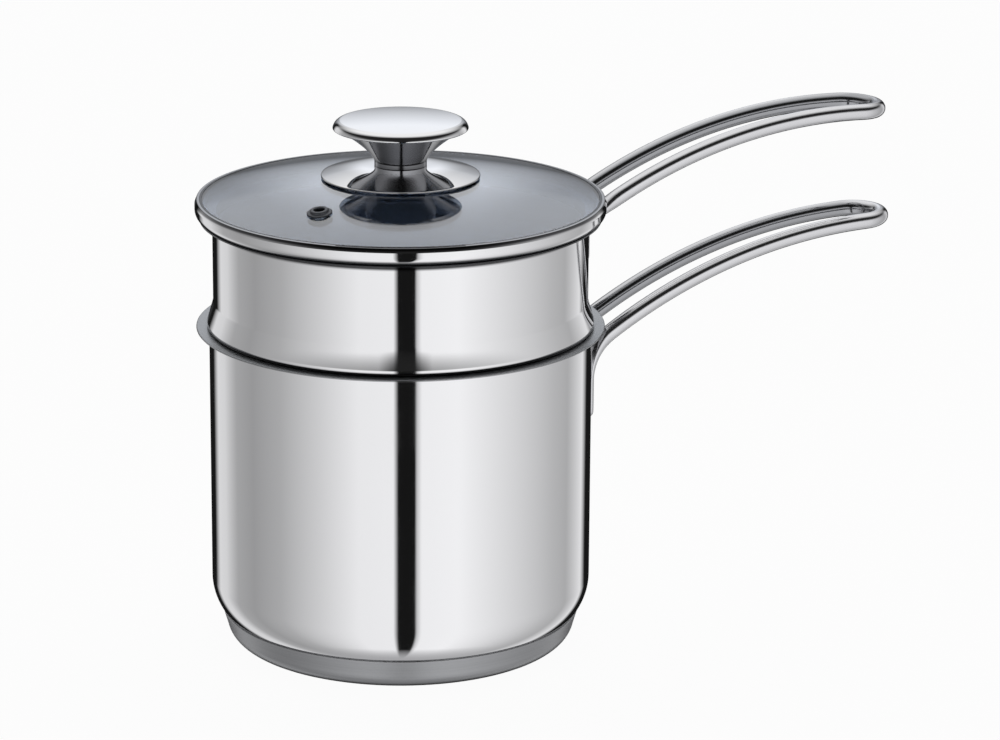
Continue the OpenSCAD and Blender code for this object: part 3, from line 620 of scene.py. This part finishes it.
# Painted shade: the whole neck takes a darker grey than the polished steel.
tone = add(tree, "ShaderNodeValToRGB", links={"Fac": lines.outputs["Fac"]})
tone.color_ramp.elements[0].color = srgb("#8C8D90")
tone.color_ramp.elements[1].color = srgb("#A6A7AA")
tree.links.new(tone.outputs["Color"], spun.inputs["Base Color"])
grain = add(tree, "ShaderNodeMapRange",
            {"To Min": 0.06, "To Max": 0.14}, {"Value": lines.outputs["Fac"]})
tree.links.new(grain.outputs["Result"], spun.inputs["Roughness"])
knob_neck.data.materials.append(spun_steel)
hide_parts("knob_neck")
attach(knob_neck, "lid")

# The cap's outline is drawn from its rolled edge over the side and the shoulder to the crown.
side, side_r = (22.64, cap_z - 1.108), 6
shoulder, shoulder_r = (24.774, cap_z + 0.075), 3.56
crown_r, crown_z, crown_rise = 25.27, cap_z + 3.6, 1.0
crown = []
for i in range(1, 25):
    u = 1 - i / 24
    crown.append((crown_r * u, crown_z + crown_rise * (1 - u ** 2)))
cap_outline = (
    [(25.9, cap_z)] + bend(27.9, cap_z + 0.5, 0.5, -90, 17, 8) + bend(*side, side_r, 17, 29, 8)[1:]
    + bend(*shoulder, shoulder_r, 29, 82, 20)[1:] + crown
    + [(r, z - sheet) for r, z in reversed(crown)]
    + bend(*shoulder, shoulder_r - sheet, 82, 29, 14) + bend(*side, side_r - sheet, 29, 21.6, 3)[1:]
    + [(25.9, cap_z + sheet), (25.9, cap_z)])
knob_cap = turned("knob_grip_cap", cap_outline)
knob_cap.data.materials.append(polished_steel)
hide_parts("knob_cap")
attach(knob_cap, "lid")

# Steam vent
# A small eyelet of the same unpolished stainless sheet, clinched through the glass, with a
# raised collar on top. Its outline is drawn on the axis and then tilted to the dome.
vent_outline = (
    [(2.2, -4.85), (3.7, -4.85)] + bend(3.7, -4.65, 0.2, -90, 0, 3) + bend(3.7, -4.25, 0.2, 0, 90, 3)
    + [(3.1, -4.05), (3.1, 0.03), (4.9, 0.03)] + bend(4.9, 0.43, 0.4, -90, 90, 6)
    + [(4.1, 0.85)] + bend(4.1, 1.1, 0.25, -90, -180, 3)
    + bend(3.35, 1.4, 0.5, 0, 90, 5) + bend(2.7, 1.4, 0.5, 90, 180, 5) + [(2.2, -4.85)])
vent = turned("steam_vent", vent_outline, steps=64, hold=0.15)
vent.rotation_euler = (0, vent_tilt, vent_turn)
vent.location = (math.cos(vent_turn) * vent_r / 1000, math.sin(vent_turn) * vent_r / 1000,
                 dome(vent_r)[1] / 1000)
bpy.ops.object.transform_apply(location=True, rotation=True, scale=True)
# The vent takes the dark grey of painted shade.
vent.data.materials.append(rolled_steel)
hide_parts("vent_eyelet")
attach(vent, "lid")

# Knob screw and seals
# A steel screw and washer hold the knob from below, with a silicone ring on each side of
# the glass. They show through the glass from below.
for name in ("knob_screw", "screw_washer"):
    nodes[name].data.materials.clear()
    nodes[name].data.materials.append(satin_steel)

# Moulded silicone: matt, dark grey, with a fine grain from its mould, about 0.15 mm.
grey_silicone, tree, silicone = new_material("moulded_grey_silicone")
silicone.inputs["IOR"].default_value = 1.41
place = add(tree, "ShaderNodeTexCoord")
pores = add(tree, "ShaderNodeTexNoise", {"Scale": noise_scale(0.15), "Detail": 3.0},
            {"Vector": place.outputs["Object"]})
tone = add(tree, "ShaderNodeValToRGB", links={"Fac": pores.outputs["Fac"]})
tone.color_ramp.elements[0].color = srgb("#3A3B3D")
tone.color_ramp.elements[1].color = srgb("#4A4B4E")
tree.links.new(tone.outputs["Color"], silicone.inputs["Base Color"])
matt = add(tree, "ShaderNodeMapRange",
           {"To Min": 0.5, "To Max": 0.7}, {"Value": pores.outputs["Fac"]})
tree.links.new(matt.outputs["Result"], silicone.inputs["Roughness"])
moulded = add(tree, "ShaderNodeBump", {"Strength": 0.2, "Distance": 0.00003},
              {"Height": pores.outputs["Fac"]})
tree.links.new(moulded.outputs["Normal"], silicone.inputs["Normal"])
for name in ("upper_gasket", "lower_gasket"):
    nodes[name].data.materials.clear()
    nodes[name].data.materials.append(grey_silicone)

# Studio
# A plain pale floor, a light tent and a softbox that leans back over the pans. The tent has a
# narrow dark gap where the lens looks in, and a wide one behind with a pale board in it.
bpy.ops.object.select_all(action="DESELECT")
bpy.ops.mesh.primitive_plane_add(size=6, location=(0, 0, -0.0003))
floor = bpy.context.object
floor.name = "studio_floor"
pale_floor, tree, board = new_material("pale_floor_board")
board.inputs["Base Color"].default_value = srgb("#F6F6F6")
board.inputs["Roughness"].default_value = 0.9
out = tree.nodes["Material Output"]
rays = add(tree, "ShaderNodeLightPath")
white = add(tree, "ShaderNodeEmission", {"Color": srgb("#FFFFFF"), "Strength": 1.0})
shown_white = 0.955  # how much of the floor is plain white to the lens, the rest shows shadows
share = add(tree, "ShaderNodeMath", {1: shown_white}, {0: rays.outputs["Is Camera Ray"]},
            operation="MULTIPLY")
blend = add(tree, "ShaderNodeMixShader", links={
    "Fac": share.outputs["Value"], 1: board.outputs["BSDF"], 2: white.outputs["Emission"]})
tree.links.new(blend.outputs["Shader"], out.inputs["Surface"])
floor.data.materials.append(pale_floor)
floor.visible_glossy = False
floor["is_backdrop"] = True

world = bpy.data.worlds.new("light_tent")
bpy.context.scene.world = world
world.use_nodes = True
tree = world.node_tree
tree.nodes.clear()
heading = math.radians(22)  # the lens looks this far to the right of the y axis
look = add(tree, "ShaderNodeTexCoord")
faced = add(tree, "ShaderNodeMapping",
            {"Rotation": (0, 0, heading)}, {"Vector": look.outputs["Generated"]})
way = add(tree, "ShaderNodeSeparateXYZ", links={"Vector": faced.outputs["Vector"]})

# The tent's wall, by the turn round the pans from the lens at 0, anticlockwise from above, in
# degrees. Its foot fades to the grey of the table.
front = add(tree, "ShaderNodeMath", {1: -1.0}, {0: way.outputs["Y"]}, operation="MULTIPLY")
turn = add(tree, "ShaderNodeMath", links={0: way.outputs["X"], 1: front.outputs["Value"]},
           operation="ARCTAN2")
round_tent = add(tree, "ShaderNodeMapRange", {"From Min": -math.pi, "From Max": math.pi},
                 {"Value": turn.outputs["Value"]})
tent = add(tree, "ShaderNodeValToRGB", links={"Fac": round_tent.outputs["Result"]})
tones = [
    (-180, 0.01), (-153, 0.01), (-143.5, 0.85), (-132, 0.82), (-117, 0.48), (-100, 0.41), (-77, 0.52),
    (-49, 0.8), (-25, 1.07), (-3.5, 1.1), (-2.2, 0.01), (8.8, 0.01), (9.9, 0.74), (12.5, 1.12),
    (35, 1.16), (50, 1.04), (70, 0.88), (105, 0.6), (120, 0.52), (142, 0.92), (151, 0.01), (180, 0.01)]
ramp = tent.color_ramp
while len(ramp.elements) < len(tones):
    ramp.elements.new(0.5)
for element, (angle, grey) in zip(ramp.elements, tones):
    element.position = (angle + 180) / 360
    element.color = (grey, grey, grey * 1.01, 1)
factor, shade_a, shade_b, mixed = 0, 6, 7, 2  # sockets of a Mix node set to colours
low = add(tree, "ShaderNodeMapRange",
          {"From Min": -0.85, "From Max": -1.0}, {"Value": way.outputs["Z"]})
footed = add(tree, "ShaderNodeMix", {shade_b: (0.5, 0.5, 0.51, 1)},
             {factor: low.outputs["Result"], shade_a: tent.outputs["Color"]}, data_type="RGBA")

# Over the wall it is dark up to the softbox. The dark comes lower beside the gap in front.
gap_middle = 0.052  # in radians
off_gap = add(tree, "ShaderNodeMath",
              {1: gap_middle}, {0: turn.outputs["Value"]}, operation="SUBTRACT")
off_side = add(tree, "ShaderNodeMath", links={0: off_gap.outputs["Value"]}, operation="ABSOLUTE")
spread = add(tree, "ShaderNodeMapRange",
             {"From Min": 0.08, "From Max": 0.28, "To Min": 0.1, "To Max": 0.0},
             {"Value": off_side.outputs["Value"]})
lifted = add(tree, "ShaderNodeMath", links={0: way.outputs["Z"], 1: spread.outputs["Result"]},
             operation="ADD")
over = add(tree, "ShaderNodeMapRange", {"From Min": 0.2, "From Max": 0.5},
           {"Value": lifted.outputs["Value"]}, interpolation_type="SMOOTHSTEP")
topped = add(tree, "ShaderNodeMix", {shade_b: (0.02, 0.02, 0.02, 1)},
             {factor: over.outputs["Result"], shade_a: footed.outputs[mixed]}, data_type="RGBA")

# The board in the gap behind: cool white, darker at its foot and towards its sides.
aside = add(tree, "ShaderNodeMath", links={0: turn.outputs["Value"]}, operation="ABSOLUTE")
behind = add(tree, "ShaderNodeMapRange", {"From Min": 2.75, "From Max": 2.95},
             {"Value": aside.outputs["Value"]}, interpolation_type="SMOOTHSTEP")
raised = add(tree, "ShaderNodeMapRange", {"From Min": -0.24, "From Max": -0.18},
             {"Value": way.outputs["Z"]})
rear = add(tree, "ShaderNodeMath", links={0: behind.outputs["Result"], 1: raised.outputs["Result"]},
           operation="MULTIPLY")
paler = add(tree, "ShaderNodeMapRange",
            {"From Min": -0.02, "From Max": 0.3, "To Min": 0.15, "To Max": 1.12},
            {"Value": way.outputs["Z"]})
wide = add(tree, "ShaderNodeMath", links={0: way.outputs["X"]}, operation="ABSOLUTE")
fade = add(tree, "ShaderNodeMapRange",
           {"From Min": 0.05, "From Max": 0.14, "To Min": 1.0, "To Max": 0.55},
           {"Value": wide.outputs["Value"]}, interpolation_type="SMOOTHSTEP")
board_tone = add(tree, "ShaderNodeMath",
                 links={0: paler.outputs["Result"], 1: fade.outputs["Result"]},
                 operation="MULTIPLY")
cool = add(tree, "ShaderNodeVectorMath",
           {1: (0.965, 0.995, 1.05)}, {0: board_tone.outputs["Value"]},
           operation="MULTIPLY")
backed = add(tree, "ShaderNodeMix", data_type="RGBA",
             links={factor: rear.outputs["Value"], shade_a: topped.outputs[mixed],
                    shade_b: cool.outputs["Vector"]})

# The softbox, leaning back from straight above. The lens itself sees plain white all round.
lean = add(tree, "ShaderNodeVectorMath", {1: (0.0, 0.4, 0.9165)}, {0: faced.outputs["Vector"]},
           operation="DOT_PRODUCT")
above = add(tree, "ShaderNodeMapRange",
            {"From Min": 0.62, "From Max": 0.9}, {"Value": lean.outputs["Value"]})
softbox = add(tree, "ShaderNodeMix", {shade_b: (1.12, 1.12, 1.12, 1)},
              {factor: above.outputs["Result"], shade_a: backed.outputs[mixed]}, data_type="RGBA")
rays = add(tree, "ShaderNodeLightPath")
seen = add(tree, "ShaderNodeMix", {shade_b: (1.0, 1.0, 1.0, 1)},
           {factor: rays.outputs["Is Camera Ray"], shade_a: softbox.outputs[mixed]}, data_type="RGBA")
light = add(tree, "ShaderNodeBackground", {"Strength": 1.0}, {"Color": seen.outputs[mixed]})
add(tree, "ShaderNodeOutputWorld", links={"Surface": light.outputs["Background"]})

# Camera
# At the photograph's place: 1.8 m off, 16 degrees above the table, with the handles pointing
# away to the right. The shift frames the pans left of the middle.
camera = bpy.data.objects.new("photo_camera", bpy.data.cameras.new("photo_camera"))
bpy.context.scene.collection.objects.link(camera)
away, up = 1.7, 0.6158  # metres from the axis and over the table
focal_length, photo_width = 4180.5, 1000  # both in pixels of the photograph
look_down = 16.349  # degrees
camera.location = (-away * math.sin(heading), -away * math.cos(heading), up)
camera.rotation_euler = (math.radians(90 - look_down), 0, -heading)
camera.data.sensor_width = 36
camera.data.lens = focal_length * camera.data.sensor_width / photo_width
camera.data.shift_x = 0.0994
bpy.context.scene.camera = camera
bpy.context.scene.view_settings.view_transform = "Standard"

low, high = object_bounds()
